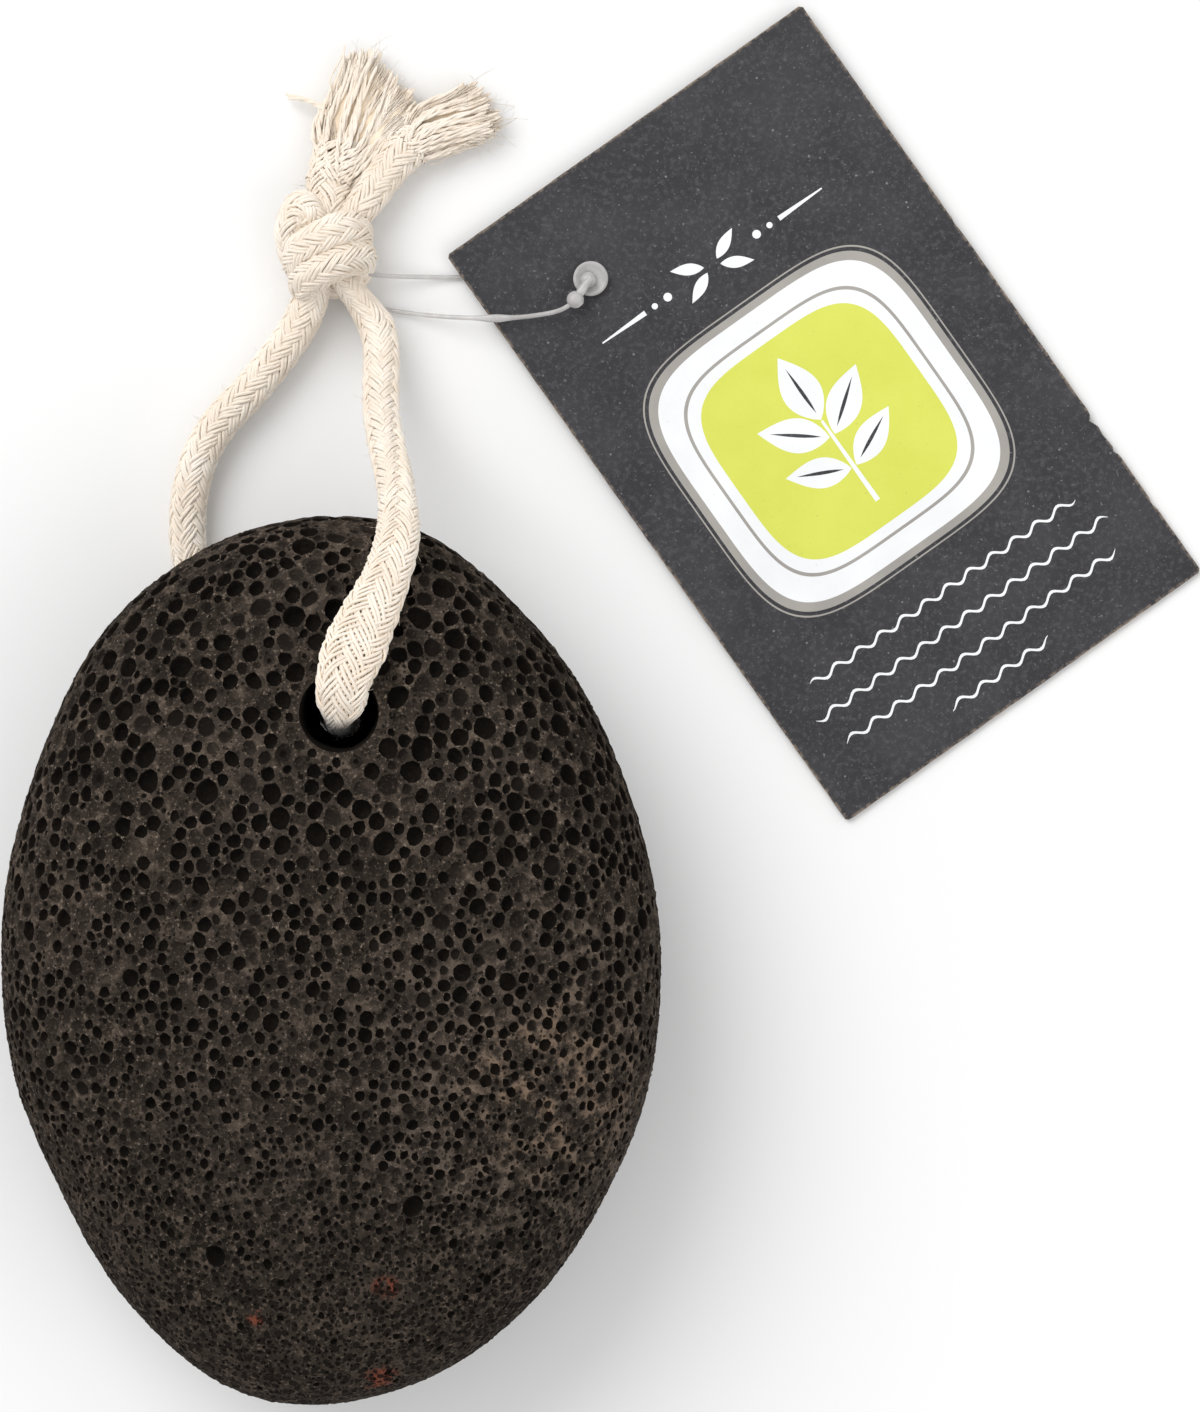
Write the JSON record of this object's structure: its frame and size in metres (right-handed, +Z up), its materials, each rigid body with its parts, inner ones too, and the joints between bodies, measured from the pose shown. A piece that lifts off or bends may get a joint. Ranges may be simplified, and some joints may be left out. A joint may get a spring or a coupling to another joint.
{
  "type": "pumice stone",
  "caption": "Egg-shaped vesicular pumice stone, drilled near one end, on a knotted braided cord with a card hang tag on a plastic loop.",
  "frame": {"origin": "on the surface the stone lies on, under the middle of the stone", "axes": "+Y along the stone towards its drilled end, +X across it to the hang tag's side, +Z up"},
  "size_m": [0.1352, 0.1577, 0.039],
  "materials": {
    "stone": "rough, open-pored",
    "cotton": "soft, unbleached braid",
    "card": "matte, lightly speckled",
    "milky_plastic": "translucent, satin"
  },
  "bodies": {
    "root": {"pumice_stone": "stone", "cord_loop": "cotton", "cord_knot": "cotton", "cord_tail_left": "cotton", "cord_tail_right": "cotton", "hang_tag": "card", "tag_fastener": "milky_plastic"}
  },
  "joints": []
}
